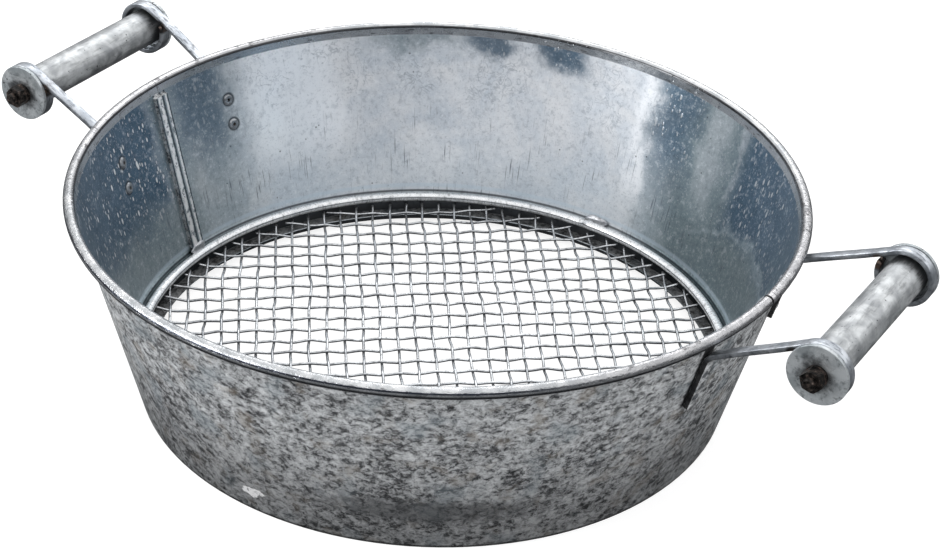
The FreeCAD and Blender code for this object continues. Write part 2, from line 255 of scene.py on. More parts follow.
def add_world():
    """A white light tent overhead with a dark room low down, as a zinc surface mirrors it."""
    world = bpy.data.worlds.new("studio")
    bpy.context.scene.world = world
    world.use_nodes = True
    graph = Graph(world.node_tree)
    background = world.node_tree.nodes["Background"]
    way = graph.node("ShaderNodeTexCoord").outputs["Generated"]
    x, y, z = graph.xyz(way)
    tent = graph.smooth(z, 0.10, 0.42, 0.05, 1.0)
    towards_front = graph.math("ADD", graph.times(x, 0.25), graph.times(y, -0.97))
    front = graph.smooth(towards_front, 0.35, 0.85)
    low_front = graph.times(front, graph.smooth(z, 0.35, 0.75, 1.0, 0.0))
    tent = graph.times(tent, graph.blend(low_front, 1.0, 0.25))
    light = graph.mix(tent, (0.028, 0.036, 0.05), (1.0, 1.0, 1.0))
    seen = graph.node("ShaderNodeLightPath").outputs["Is Camera Ray"]
    graph.feed(background.inputs[0], graph.mix(seen, light, (1.0, 1.0, 1.0)))
    background.inputs[1].default_value = SKY_STRENGTH


FLOOR_HALF_WIDTH = 4.0
FLOOR_DROP = 0.2 * MM


def add_floor():
    """A pale floor that mirrors dark in the metal, as a floor beyond a lit table does."""
    mesh = bpy.data.meshes.new("floor")
    half = FLOOR_HALF_WIDTH
    mesh.from_pydata([(-half, -half, 0), (half, -half, 0), (half, half, 0), (-half, half, 0)], [],
                     [(0, 1, 2, 3)])
    floor = bpy.data.objects.new("floor", mesh)
    floor.location.z = -FLOOR_DROP
    bpy.context.scene.collection.objects.link(floor)
    material = bpy.data.materials.new("floor_paper")
    material.use_nodes = True
    tree = material.node_tree
    graph = Graph(tree)
    tree.nodes.clear()
    paper = graph.node("ShaderNodeBsdfDiffuse")
    paper.inputs[0].default_value = (0.36, 0.36, 0.36, 1)
    glow = graph.node("ShaderNodeEmission")
    glow.inputs[0].default_value = (0.82, 0.82, 0.82, 1)
    both = graph.node("ShaderNodeAddShader")
    graph.feed(both.inputs[0], paper.outputs[0])
    graph.feed(both.inputs[1], glow.outputs[0])
    dark = graph.node("ShaderNodeBsdfDiffuse")
    dark.inputs[0].default_value = (0.10, 0.105, 0.11, 1)
    path = graph.node("ShaderNodeLightPath")
    switch = graph.node("ShaderNodeMixShader")
    graph.feed(switch.inputs[0], path.outputs["Is Glossy Ray"])
    graph.feed(switch.inputs[1], both.outputs[0])
    graph.feed(switch.inputs[2], dark.outputs[0])
    out = graph.node("ShaderNodeOutputMaterial")
    graph.feed(out.inputs[0], switch.outputs[0])
    mesh.materials.append(material)


def add_softbox(name, place, target, size, power):
    """A soft lamp of a given width, height and power in watts, turned towards its target."""
    data = bpy.data.lights.new(name, "AREA")
    data.shape = "RECTANGLE"
    data.size, data.size_y = size
    data.energy = power
    lamp = bpy.data.objects.new(name, data)
    lamp.location = place
    lamp.rotation_euler = (Vector(target) - Vector(place)).to_track_quat("-Z", "Y").to_euler()
    bpy.context.scene.collection.objects.link(lamp)


# ---------------- finishes
def new_material(name):
    """A material, its graph, its shader, and the place on the object in metres."""
    material = bpy.data.materials.new(name)
    material.use_nodes = True
    graph = Graph(material.node_tree)
    bsdf = material.node_tree.nodes["Principled BSDF"]
    place = graph.node("ShaderNodeTexCoord").outputs["Object"]
    return material, graph, bsdf, place


def finish_surface(graph, bsdf, colour, roughness, normal, metallic):
    graph.feed(bsdf.inputs["Base Color"], colour)
    graph.feed(bsdf.inputs["Roughness"], roughness)
    graph.feed(bsdf.inputs["Metallic"], metallic)
    graph.feed(bsdf.inputs["Normal"], normal)


def weathered_colour(graph, place, height):
    """The tub's outside: grey zinc bloom covered in dark pitted flecks that run a little round it."""
    x, y, z = graph.xyz(place)
    around = graph.times(graph.math("ARCTAN2", graph.times(x, -1.0), y), MEAN_WALL_RADIUS)
    radius = graph.vector("LENGTH", graph.join(x, y, 0.0))
    flat = graph.join(graph.times(around, 0.80), radius, z)
    clouds = graph.noise(place, 0.045, 3.0, 0.5)
    density = graph.noise(flat, 0.010, 3.0, 0.6, 0.5)
    flecks = graph.noise(flat, 0.0027, 4.0, 0.70, 0.5)
    grain = graph.noise(place, 0.0009, 2.0, 0.6)
    total = graph.math("MULTIPLY_ADD", density, 0.34, graph.times(flecks, 0.84))
    total = graph.math("MULTIPLY_ADD", clouds, 0.14, total)
    total = graph.math("MULTIPLY_ADD", grain, 0.16, total)
    colour = graph.ramp(total, [(0.570, (0.030, 0.032, 0.036)), (0.660, (0.130, 0.134, 0.140)),
                                (0.720, (0.350, 0.360, 0.370)), (0.790, (0.560, 0.575, 0.590)),
                                (0.900, (0.800, 0.815, 0.830))])
    rust = graph.smooth(graph.noise(place, 0.014, 3.0, 0.6), 0.54, 0.70, 0.0, 0.42)
    colour = graph.mix(rust, colour, (0.33, 0.285, 0.235))
    elsewhere = graph.vector("ADD", place, (0.3, 0.1, 0.0))
    cold = graph.smooth(graph.noise(elsewhere, 0.020, 2.0), 0.55, 0.72, 0.0, 0.40)
    colour = graph.mix(cold, colour, (0.30, 0.36, 0.40))
    # Darker towards the bottom, and darker still in the lowest two millimetres.
    low = graph.smooth(height, 0.0, 0.080, 0.45, 1.0)
    foot = graph.smooth(height, 0.0008, 0.0020, 0.25, 1.0)
    darker_towards_bottom = graph.times(low, foot)
    return graph.mix(1.0, colour, graph.join(darker_towards_bottom, darker_towards_bottom, darker_towards_bottom), "MULTIPLY"), total


# Patches on the inside: centre and half width in degrees round from the +X axis, softness in degrees,
# strength, and the heights between which the patch fades in. The blue and grey patches are partly the
# zinc's own tint and partly painted reflection of the dark room.
BLUE_PATCHES = (
    (216.0, 33.0, 4.0, 1.00, 0.030, 0.062),
    (171.5, 6.0, 3.5, 0.80, 0.045, 0.085),
    (113.0, 3.6, 2.0, 0.85, 0.093, 0.102),
    (99.0, 4.2, 2.0, 0.92, 0.090, 0.101),
    (73.5, 4.8, 3.0, 0.88, 0.030, 0.085),
)
GREY_PATCHES = (
    (126.0, 8.0, 5.0, 0.60, 0.092, 0.103),
    (200.0, 26.0, 7.0, 0.85, -0.02, 0.0),
    (45.0, 30.0, 9.0, 0.98, -0.02, 0.0),
    (172.0, 9.0, 7.0, 0.50, -0.02, 0.0),
)
BRIGHT_PATCHES = (
    (151.0, 9.0, 3.0, 0.75, 0.030, 0.060),
    (80.5, 1.7, 1.5, 0.80, 0.020, 0.050),
    (63.0, 3.6, 2.6, 0.34, 0.040, 0.070),
    (56.0, 0.8, 0.8, 0.45, 0.055, 0.080),
    (184.5, 1.2, 1.2, 0.50, 0.030, 0.080),
)
# The arched crease on the right: its middle in degrees round, its fall in metres a degree squared,
# and its height at the middle
CREASE_TURN = 40.5
CREASE_FALL = 0.000036
CREASE_HEIGHT = 0.057
# Heights of the painted shadow line where the hoop touches the wall, and of the painted gleam over it
HOOP_CONTACT = 16.2 * MM
GLEAM_HEIGHT = 19.5 * MM
# Light and dark lines across the lock seam: distance along Y from its middle, half width, and strength
SEAM_LIGHTS = ((-0.0021, 0.0016, 1.0), (0.0027, 0.0008, 0.9))
SEAM_DARKS = ((-0.0046, 0.0005, 0.9), (0.0004, 0.0007, 0.85), (0.0043, 0.0006, 0.95))


def patches(graph, turn, z, specs):
    """The strongest of several soft patches on the inside wall."""
    total = 0.0
    for centre, half, soft, strength, low, high in specs:
        away = graph.apart(turn, centre - 90)
        side = graph.smooth(away, half - soft, half + soft, strength, 0.0)
        total = graph.most(graph.times(side, graph.smooth(z, low, high)), total)
    return total


def seam_lines(graph, y, specs):
    """The strongest of several thin lines that run up the wall at given distances along Y."""
    total = 0.0
    for centre, half, strength in specs:
        away = graph.apart(y, centre)
        total = graph.most(graph.smooth(away, half * 0.6, half * 1.3, strength, 0.0), total)
    return total


def droplets(graph, flat, size, share, zone):
    """Raised drops of zinc: the drops' own mask, used for a painted highlight, and a ring round them for
    the painted shade at their edges.
    """
    distance, colour = graph.cells(flat, size)
    chance = graph.xyz(colour)[1]
    chosen = graph.times(graph.smooth(chance, 1 - share, 1.01 - share), zone)
    width = graph.math("MULTIPLY_ADD", graph.xyz(colour)[0], 0.13, 0.11)
    drop = graph.smooth(graph.math("DIVIDE", distance, width), 0.8, 1.3, 1.0, 0.0)
    edge = graph.smooth(graph.math("DIVIDE", distance, width), 1.3, 2.2, 1.0, 0.0)
    return graph.times(drop, chosen), graph.times(edge, chosen)


def inside_patches(graph, turn, y, z, wobble):
    """How blue, grey and bright the inside is at each place, and its one soft fold."""
    loose_turn = graph.math("MULTIPLY_ADD", wobble, 9.0, turn)
    loose_z = graph.math("MULTIPLY_ADD", wobble, 0.028, z)
    blue = patches(graph, loose_turn, loose_z, BLUE_PATCHES)
    grey = patches(graph, loose_turn, loose_z, GREY_PATCHES)
    bright = patches(graph, loose_turn, loose_z, BRIGHT_PATCHES)

    # The right side's blue ends on an arched crease
    off = graph.math("SUBTRACT", turn, CREASE_TURN - 90)
    arch = graph.math("MULTIPLY_ADD", graph.times(off, off), CREASE_FALL, loose_z)
    reach = graph.times(graph.smooth(off, 11.5, 17.5, 1.0, 0.0), graph.smooth(off, -50.0, -34.0))
    right_blue = graph.times(graph.smooth(arch, 0.046, 0.066), reach)
    away_from_front = graph.smooth(graph.math("MULTIPLY_ADD", wobble, 0.03, y), -0.160, -0.130)
    blue = graph.times(graph.most(blue, right_blue), away_from_front)
    grey = graph.times(grey, away_from_front)
    fold = graph.smooth(graph.apart(arch, CREASE_HEIGHT), 0.0, 0.0035, 0.38, 0.0)
    fold = graph.times(fold, graph.smooth(off, 20.0, 27.0, 1.0, 0.0))
    return blue, grey, bright, fold


def speckled(graph, colour, place, fine):
    """Adds fine dark and light speckles of two sizes to a colour."""
    darker = graph.vector("MULTIPLY", colour, (0.34, 0.38, 0.42))
    colour = graph.mix(graph.smooth(fine, 0.50, 0.70, 0.0, 0.34), colour, darker)
    colour = graph.mix(graph.smooth(fine, 0.30, 0.47, 0.35, 0.0), colour, (0.92, 0.95, 0.98))
    grit = graph.noise(place, 0.0012, 2.0, 0.7)
    darker = graph.vector("MULTIPLY", colour, (0.22, 0.26, 0.30))
    colour = graph.mix(graph.smooth(grit, 0.58, 0.68, 0.0, 0.28), colour, darker)
    return graph.mix(graph.smooth(grit, 0.30, 0.40, 0.35, 0.0), colour, (0.95, 0.97, 1.0))


def scratched(graph, colour, place, flat, z):
    """Adds the outlines of dried drops, scratches round the tub, and pits. Gives the scratches too."""
    outline = graph.apart(graph.noise(place, 0.007, 3.0, 0.55, 0.8), 0.53)
    outline = graph.smooth(outline, 0.004, 0.030, 1.0, 0.0)
    stained = graph.smooth(graph.noise(place, 0.026, 2.0), 0.44, 0.56)
    outline = graph.times(outline, stained, graph.smooth(z, 0.05, 0.08))
    colour = graph.mix(graph.times(outline, 0.42), colour, (0.20, 0.24, 0.29))
    stretched = graph.vector("MULTIPLY", flat, (1.0, 0.045, 1.0))
    lines = graph.smooth(graph.noise(stretched, 0.0011, 2.0, 0.6), 0.60, 0.67)
    lines = graph.times(lines, graph.smooth(graph.noise(flat, 0.022, 3.0), 0.44, 0.60))
    lines = graph.times(lines, graph.smooth(z, 0.045, 0.080, 1.0, 0.12))
    colour = graph.mix(graph.times(lines, 0.75), colour, (0.10, 0.12, 0.15))
    pit_distance, pit_colour = graph.cells(flat, 0.0080)
    pits = graph.smooth(pit_distance, 0.035, 0.085, 1.0, 0.0)
    pits = graph.times(pits, graph.smooth(graph.xyz(pit_colour)[0], 0.55, 0.60))
    return graph.mix(graph.times(pits, 0.8), colour, (0.06, 0.07, 0.09)), lines


def spattered(graph, colour, flat, turn, blue):
    """Adds drops of zinc of two sizes where the inside is blue: painted shade round each and a painted
    white highlight on it. Gives the drops too.
    """
    leaning = graph.vector("MULTIPLY", flat, (1.5, 0.75, 1.0))
    wet_left = graph.smooth(turn, 86.0, 91.0, 0.30, 1.0)
    wet_right = graph.smooth(turn, 20.0, 30.0, 0.55, 0.0)
    wet = graph.times(graph.most(wet_left, wet_right), blue)
    drops, edges = droplets(graph, leaning, 0.0056, 0.85, wet)
    shifted = graph.vector("ADD", leaning, (0.5, 0.2, 0.0))
    small_drops, small_edges = droplets(graph, shifted, 0.0036, 0.70, wet)
    drops = graph.most(drops, graph.times(small_drops, 0.75))
    edges = graph.most(edges, small_edges)
    # Painted shade round each drop's edge, then a painted white highlight on the drop
    colour = graph.mix(graph.times(edges, 0.40), colour, (0.05, 0.08, 0.12))
    return graph.mix(graph.times(drops, 0.95), colour, (1.0, 1.0, 1.0)), drops


def lined(graph, colour, x, y, z, wobble, fine):
    """Adds the painted shadow in the corner under the hoop, the painted shadow line where the hoop
    touches the wall with the painted gleam over it, and the lines across the left lock seam.
    """
    radius = graph.vector("LENGTH", graph.join(x, y, 0.0))
    gleam = graph.smooth(graph.apart(z, GLEAM_HEIGHT), 0.0005, 0.0016, 0.55, 0.0)
    colour = graph.mix(gleam, colour, (0.62, 0.72, 0.80))
    loose_radius = graph.math("MULTIPLY_ADD", wobble, 0.006, radius)
    # Painted shadow in the corner under the hoop, over the flange's outer part
    corner = graph.smooth(z, 0.0120, 0.0145, 0.96, 0.0)
    corner = graph.times(corner, graph.smooth(loose_radius, 0.1497, 0.1512))
    colour = graph.mix(corner, colour, (0.015, 0.017, 0.020))
    # Painted shadow line where the hoop touches the wall
    contact = graph.smooth(graph.apart(z, HOOP_CONTACT), 0.0003, 0.0010, 0.85, 0.0)
    colour = graph.mix(contact, colour, (0.02, 0.023, 0.028))
    at_seam = graph.times(graph.smooth(x, -0.10, -0.09, 1.0, 0.0), graph.smooth(z, 0.017, 0.0195))
    ragged = graph.fray(y, fine, 0.0016)
    lights = graph.times(seam_lines(graph, ragged, SEAM_LIGHTS), at_seam)
    darks = graph.times(seam_lines(graph, ragged, SEAM_DARKS), at_seam)
    worn_metal = graph.mix(graph.smooth(fine, 0.50, 0.62), (1.0, 1.0, 1.0), (0.30, 0.33, 0.36))
    colour = graph.mix(lights, colour, worn_metal)
    return graph.mix(darks, colour, (0.035, 0.045, 0.06))


def inside_colour(graph, place, flat, turn):
    """The tub's inside: smooth zinc, clouded blue and grey as tint and painted reflection, with drops,
    dried stains and scratches.

    Gives the colour, and the clouds, drops, scratches and dull parts for the rest of the finish.
    """
    x, y, z = graph.xyz(place)
    wobble = graph.math("SUBTRACT", graph.noise(place, 0.018, 4.0, 0.6), 0.5)
    blue, grey, bright, fold = inside_patches(graph, turn, y, z, wobble)
    cloud = graph.noise(place, 0.030, 5.0, 0.6, 0.4)
    fine = graph.noise(place, 0.0035, 4.0, 0.68)
    colour = graph.mix(graph.smooth(cloud, 0.30, 0.70), (0.60, 0.65, 0.71), (0.79, 0.80, 0.82))
    colour = graph.mix(graph.smooth(z, 0.020, 0.060, 0.30, 0.0), colour, (0.62, 0.71, 0.77))
    # Grey and blue patches: partly the zinc's own tint, partly painted reflection of the dark room
    colour = graph.mix(grey, colour, graph.mix(cloud, (0.17, 0.235, 0.26), (0.33, 0.41, 0.44)))
    colour = graph.mix(bright, colour, (0.95, 0.97, 1.0))
    colour = graph.mix(blue, colour, graph.mix(cloud, (0.040, 0.090, 0.145), (0.15, 0.23, 0.31)))
    colour = graph.mix(fold, colour, (0.55, 0.64, 0.69))
    colour = speckled(graph, colour, place, fine)
    colour, lines = scratched(graph, colour, place, flat, z)
    colour, drops = spattered(graph, colour, flat, turn, blue)
    colour = lined(graph, colour, x, y, z, wobble, fine)
    return colour, cloud, drops, lines, graph.most(blue, grey)


def rivet_outlines(graph, place):
    """A dark ring round the rivets' heads."""
    total = 0.0
    for side, sign in SIDES:
        for end in ENDS:
            for height in RIVET_HEIGHTS:
                seat_y = LEG_Y[f"{side}_{end}"]
                seat = (sign * math.sqrt(outer_wall(height) ** 2 - seat_y ** 2), seat_y, height)
                away = graph.vector("DISTANCE", place, seat)
                total = graph.most(graph.smooth(away, 0.0035, 0.0047, 0.85, 0.0), total)
    return total


def painted_leg_shadows(graph, x, y, z):
    """Painted shadow on the wall's outside along both edges of the brackets' legs."""
    total = 0.0
    for side, sign in SIDES:
        on_side = graph.smooth(graph.times(x, sign), 0.10, 0.11)
        for end in ENDS:
            away = graph.apart(y, LEG_Y[f"{side}_{end}"])
            edge = graph.smooth(away, STRAP_WIDTH * 0.55, STRAP_WIDTH * 0.74, 0.92, 0.0)
            total = graph.most(graph.times(edge, on_side), total)
    return graph.times(total, graph.smooth(z, LEG_BOTTOM - 1.5 * MM, LEG_BOTTOM))


def outside_marks(graph, colour, place, height):
    """Adds a bright scrape and a dark run low on the front, and the painted shadow beside the brackets'
    legs.
    """
    x, y, z = graph.xyz(place)
    rag = graph.math("SUBTRACT", graph.noise(place, 0.005, 4.0, 0.6), 0.5)
    scrape_x = graph.math("ADD", x, 0.0015)
    scrape_z = graph.math("MULTIPLY_ADD", z, 1.9, -0.025)
    scrape = graph.join(scrape_x, 0.0, scrape_z)
    scrape = graph.math("MULTIPLY_ADD", rag, 0.022, graph.vector("LENGTH", scrape))
    front = graph.smooth(y, -0.10, -0.09, 1.0, 0.0)
    scraped = graph.times(graph.smooth(scrape, 0.0046, 0.0052, 1.0, 0.0), front)
    bare = graph.mix(graph.smooth(height, 0.62, 0.75), (0.30, 0.30, 0.31), (0.88, 0.88, 0.89))
    colour = graph.mix(scraped, colour, bare)
    run_x = graph.math("MULTIPLY_ADD", x, 0.50, -0.040)
    run_z = graph.math("MULTIPLY_ADD", z, 2.6, -0.066)
    run = graph.join(run_x, 0.0, run_z)
    run = graph.math("MULTIPLY_ADD", rag, 0.040, graph.vector("LENGTH", run))
    darkened = graph.times(graph.smooth(run, 0.010, 0.030, 0.66, 0.0), front)
    colour = graph.mix(darkened, colour, (0.055, 0.058, 0.062))
    loose_y = graph.math("MULTIPLY_ADD", rag, 0.002, y)
    # Painted shadow beside the brackets' legs
    return graph.mix(painted_leg_shadows(graph, x, loose_y, z), colour, (0.012, 0.012, 0.014))


# Heights where the bead starts on either side, and of the line in it on the inside
BEAD_START_INSIDE = 105.9 * MM
BEAD_START_OUTSIDE = 106.1 * MM
BEAD_NECK = 110.4 * MM
# How far towards -Y the gap beside the right seam's hook is
HOOK_GAP = 4 * MM


def bead_colour(graph, place, around, x, z, inside, upward):
    """The rolled bead: worn bright on top, with a painted dark reflection band round its outside and
    painted shadow and dark reflection under it, and speckled on its inner side."""
    along = graph.join(graph.times(around, 0.22), z, 0.0)
    nicks = graph.smooth(graph.noise(along, 0.0015, 4.0, 0.72), 0.56, 0.64)
    wear = graph.noise(place, 0.011, 4.0, 0.6)
    colour = graph.mix(graph.smooth(wear, 0.35, 0.68), (0.44, 0.46, 0.48), (0.74, 0.75, 0.765))
    side = graph.smooth(upward, 0.55, 0.90, 1.0, 0.0)
    worn = graph.smooth(graph.math("ABSOLUTE", x), 0.12, 0.17)
    colour = graph.mix(graph.times(worn, 0.55), colour, (0.36, 0.35, 0.36))
    nicked_side = graph.math("MULTIPLY_ADD", side, 0.80, 0.04)
    share = graph.most(nicked_side, graph.times(worn, 0.75))
    colour = graph.mix(graph.times(nicks, share), colour, (0.07, 0.07, 0.075))
    inner_band = graph.times(inside, graph.smooth(z, 0.1100, 0.1106, 1.0, 0.0))
    speckle = graph.mix(graph.smooth(nicks, 0.2, 0.8), (0.42, 0.44, 0.46), (0.16, 0.17, 0.18))
    colour = graph.mix(inner_band, colour, speckle)
    inner_line = graph.smooth(graph.apart(z, BEAD_NECK), 0.0004, 0.0009, 0.92, 0.0)
    colour = graph.mix(graph.times(inner_line, inside), colour, (0.03, 0.032, 0.036))
    outside = graph.math("SUBTRACT", 1.0, inside)
    # Painted shadow and dark reflection under the bead's outside, where its normal points out and down
    painted_shade_under_bead = graph.times(graph.smooth(upward, -0.22, 0.08, 1.0, 0.0), outside)
    painted_shade_under_bead = graph.times(painted_shade_under_bead, graph.smooth(upward, -0.75, -0.62, 0.15, 1.0))
    # A painted dark reflection band round the bead's outside, where its normal is about 0.4 up
    painted_dark_band = graph.smooth(graph.apart(upward, 0.40), 0.06, 0.17, 1.0, 0.0)
    painted_dark_band = graph.times(painted_dark_band, graph.math("SUBTRACT", 1.0, worn))
    painted_dark_band = graph.times(painted_dark_band, outside, 0.93)
    colour = graph.mix(painted_dark_band, colour, (0.025, 0.032, 0.055))
    return graph.mix(graph.times(painted_shade_under_bead, 0.93), colour, (0.012, 0.013, 0.017)), wear


def tub_material():
    """One finish for a sheet: weathered outside, clouded smooth inside, bright worn bead."""
    material, graph, bsdf, place = new_material("zinc_tub")
    x, y, z = graph.xyz(place)
    radial = graph.vector("NORMALIZE", graph.join(x, y, 0.0))
    geometry = graph.node("ShaderNodeNewGeometry")
    facing = graph.vector("DOT_PRODUCT", geometry.outputs["True Normal"], radial)
    upward = graph.xyz(geometry.outputs["True Normal"])[2]
    inside = graph.smooth(facing, -0.35, -0.15, 1.0, 0.0)
    bead_start = graph.blend(inside, BEAD_START_OUTSIDE, BEAD_START_INSIDE)
    bead = graph.smooth(z, bead_start, graph.math("ADD", bead_start, 0.0003))
    half_turn = graph.math("ARCTAN2", graph.times(x, -1.0), y)
    turn = graph.math("DEGREES", half_turn)
    around = graph.times(half_turn, MEAN_WALL_RADIUS)
    flat = graph.join(around, z, 0.0)

    outer, outer_height = weathered_colour(graph, place, z)
    outer = outside_marks(graph, outer, place, outer_height)
    inner, cloud, drops, lines, dull = inside_colour(graph, place, flat, turn)
    inner = graph.mix(rivet_outlines(graph, place), inner, (0.035, 0.042, 0.050))
    rim, wear = bead_colour(graph, place, around, x, z, inside, upward)
    hook = graph.math("ABSOLUTE", graph.math("ADD", y, HOOK_GAP))
    hook = graph.times(graph.smooth(hook, 0.0006, 0.0009, 1.0, 0.0), graph.smooth(x, 0.10, 0.11))
    hook = graph.times(hook, graph.smooth(z, 0.1045, 0.1050))

    colour = graph.mix(inside, outer, inner)
    colour = graph.mix(bead, colour, rim)
    colour = graph.mix(hook, colour, (0.004, 0.004, 0.005))
    rough_out = graph.smooth(outer_height, 0.55, 0.80, 0.66, 0.46)
    rough_in = graph.smooth(cloud, 0.3, 0.7, 0.38, 0.28)
    roughness = graph.blend(inside, rough_out, rough_in)
    roughness = graph.blend(bead, roughness, graph.smooth(wear, 0.3, 0.7, 0.30, 0.17))
    metallic = graph.blend(inside, 0.45, graph.blend(dull, 0.40, 0.85))
    metallic = graph.blend(bead, metallic, 0.9)
    wavy = graph.noise(place, 0.060, 1.0)
    inner_height = graph.math("MULTIPLY_ADD", drops, 0.35, graph.times(wavy, 2.0))
    inner_height = graph.math("SUBTRACT", inner_height, graph.times(lines, 0.10))
    height = graph.blend(inside, graph.times(outer_height, 1.3), inner_height)
    finish_surface(graph, bsdf, colour, roughness, graph.bump(height, 0.8, 0.0006), metallic)
    return material


def bright_zinc(name, light, dark, streak, rough, nick=0.6, metallic=0.85, streaked=0.62,
                under=None, line=None, painted_nut_shadow=0.0, ends=None):
    """Drawn or plated zinc: clouded between a light and a dark grey, with darker streaks and nicks.

    streak is how much the streaks are squeezed along each axis, rough the roughness from streak to
    streak, and nick and streaked how strongly the nicks and streaks show. under gives the two heights of
    the normal between which the painted shade underneath fades out, line the height of the normal where
    a painted shade line runs, painted_nut_shadow how strong the painted shadow is round the grip's axis,
    and ends the distances from a tube's middle between which the grime and painted shade at its ends
    grow.
    """
    material, graph, bsdf, place = new_material(name)
    stretched = graph.vector("MULTIPLY", place, streak)
    cloud = graph.noise(place, 0.012, 5.0, 0.62, 0.4)
    streaks = graph.noise(stretched, 0.0022, 4.0, 0.62)
    colour = graph.mix(graph.smooth(cloud, 0.34, 0.66), dark, light)
    streak_colour = tuple(0.40 * part for part in dark)
    colour = graph.mix(graph.smooth(streaks, 0.50, 0.68, 0.0, streaked), colour, streak_colour)
    nicks = graph.smooth(graph.noise(place, 0.0024, 2.0, 0.5), 0.69, 0.75, 0.0, nick)
    colour = graph.mix(nicks, colour, (0.05, 0.05, 0.055))
    upward = graph.xyz(graph.node("ShaderNodeNewGeometry").outputs["Normal"])[2]
    # Painted shade on the undersides, where the normal points down
    if under:
        uneven = graph.fray(upward, cloud, 0.9)
        grime_and_shade = graph.smooth(uneven, *under, 0.80, 0.0)
        colour = graph.mix(grime_and_shade, colour, (0.045, 0.048, 0.052))
    # A painted shade line at one height of the normal
    if line:
        away = graph.apart(upward, line)
        colour = graph.mix(graph.smooth(away, 0.05, 0.18, 0.85, 0.0), colour, (0.05, 0.055, 0.06))
    # Painted shadow round the nut, on the washer near the grip's axis
    if painted_nut_shadow:
        x, _, z = graph.xyz(place)
        out_from_axis = graph.math("SUBTRACT", graph.math("ABSOLUTE", x), GRIP_X)
        up_from_axis = graph.math("SUBTRACT", z, GRIP_Z)
        axis = graph.join(out_from_axis, 0.0, up_from_axis)
        ragged = graph.fray(graph.vector("LENGTH", axis), cloud, 0.016)
        colour = graph.mix(graph.smooth(ragged, 0.0060, 0.0110, painted_nut_shadow, 0.0), colour, (0.03, 0.03, 0.032))
    # Grime and painted shade at the tube's ends
    if ends:
        from_middle = graph.apart(graph.xyz(place)[1], TUBE_MIDDLE)
        from_middle = graph.fray(from_middle, streaks, 0.012)
        grime_and_shade = graph.smooth(from_middle, *ends, 0.0, 0.85)
        colour = graph.mix(grime_and_shade, colour, (0.04, 0.042, 0.047))
    roughness = graph.smooth(streaks, 0.3, 0.7, *rough)
    finish_surface(graph, bsdf, colour, roughness, graph.bump(streaks, 0.5, 0.00015), metallic)
    return material


# Where the straps' curled ends stop
STRAP_TIP_X = 216.8 * MM
STRAP_TIP_Z = 116.6 * MM


def strap_finish():
    """The brackets: light zinc arms with painted shade underneath, legs as weathered as the wall with
    painted shade on their side faces, and the curl's tip painted dark as shade with a rust tint.
    """
    material, graph, bsdf, place = new_material("zinc_strap")
    x, _, z = graph.xyz(place)
    cloud = graph.noise(place, 0.010, 4.0, 0.6)
    streaks = graph.noise(graph.vector("MULTIPLY", place, (0.3, 1.0, 0.5)), 0.0018, 4.0, 0.62)
    arm = graph.mix(graph.smooth(cloud, 0.34, 0.66), (0.36, 0.39, 0.43), (0.60, 0.63, 0.67))
    arm = graph.mix(graph.smooth(streaks, 0.50, 0.66, 0.0, 0.70), arm, (0.12, 0.13, 0.15))
    upward = graph.xyz(graph.node("ShaderNodeNewGeometry").outputs["Normal"])[2]
    # Painted shade on the arms' sides and undersides
    uneven = graph.fray(upward, cloud, 0.8)
    arm = graph.mix(graph.smooth(uneven, -0.45, 0.25, 0.80, 0.0), arm, (0.05, 0.054, 0.060))
    leg, _ = weathered_colour(graph, place, z)
    across = graph.xyz(graph.node("ShaderNodeNewGeometry").outputs["True Normal"])[1]
    # Painted shade on the legs' side faces
    edge = graph.smooth(graph.math("ABSOLUTE", across), 0.70, 0.85, 0.0, 0.95)
    leg = graph.mix(edge, leg, (0.008, 0.008, 0.009))
    on_leg = graph.smooth(z, 0.093, 0.101, 1.0, 0.0)
    near_wall = graph.smooth(graph.math("ABSOLUTE", x), 0.186, 0.190, 1.0, 0.0)
    on_leg = graph.times(on_leg, near_wall)
    colour = graph.mix(on_leg, arm, leg)
    # The curl's tip: painted shade, tinted rust brown
    out_from_tip = graph.math("SUBTRACT", graph.math("ABSOLUTE", x), STRAP_TIP_X)
    tip = graph.join(out_from_tip, 0.0, graph.math("SUBTRACT", z, STRAP_TIP_Z))
    tip_shade_and_rust = graph.smooth(graph.vector("LENGTH", tip), 0.0030, 0.0050, 0.93, 0.0)
    rust = graph.mix(graph.smooth(streaks, 0.4, 0.6), (0.020, 0.014, 0.012), (0.11, 0.07, 0.05))
    colour = graph.mix(tip_shade_and_rust, colour, rust)
    roughness = graph.blend(on_leg, graph.smooth(streaks, 0.3, 0.7, 0.30, 0.46), 0.6)
    metallic = graph.blend(on_leg, 0.85, 0.45)
    finish_surface(graph, bsdf, colour, roughness, graph.bump(streaks, 0.5, 0.0002), metallic)
    return material


def rusty_steel():
    """Bolts: near-black steel with a brown bloom and a little bare metal."""
    material, graph, bsdf, place = new_material("rusty_steel")
    bloom = graph.noise(place, 0.0022, 5.0, 0.7)
    colour = graph.ramp(bloom, [(0.36, (0.006, 0.006, 0.006)), (0.52, (0.022, 0.018, 0.016)),
                                (0.62, (0.075, 0.052, 0.042)), (0.74, (0.22, 0.19, 0.17))])
    finish_surface(graph, bsdf, colour, graph.smooth(bloom, 0.3, 0.7, 0.32, 0.65),
                   graph.bump(bloom, 0.8, 0.0004), graph.smooth(bloom, 0.35, 0.6, 0.9, 0.4))
    return material


# ---------------- built pieces
def add_piece(name, vertices, faces, material, slot, *nodes):
    """A smooth piece that rides on the tub, and the frame's nodes that it replaces."""
    mesh = bpy.data.meshes.new(name)
    mesh.from_pydata(vertices, [], faces)
    mesh.polygons.foreach_set("use_smooth", [True] * len(faces))
    mesh.materials.append(material)
    piece = bpy.data.objects.new(name, mesh)
    bpy.context.scene.collection.objects.link(piece)
    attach(piece, "tub")
    if nodes:
        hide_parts(*nodes)


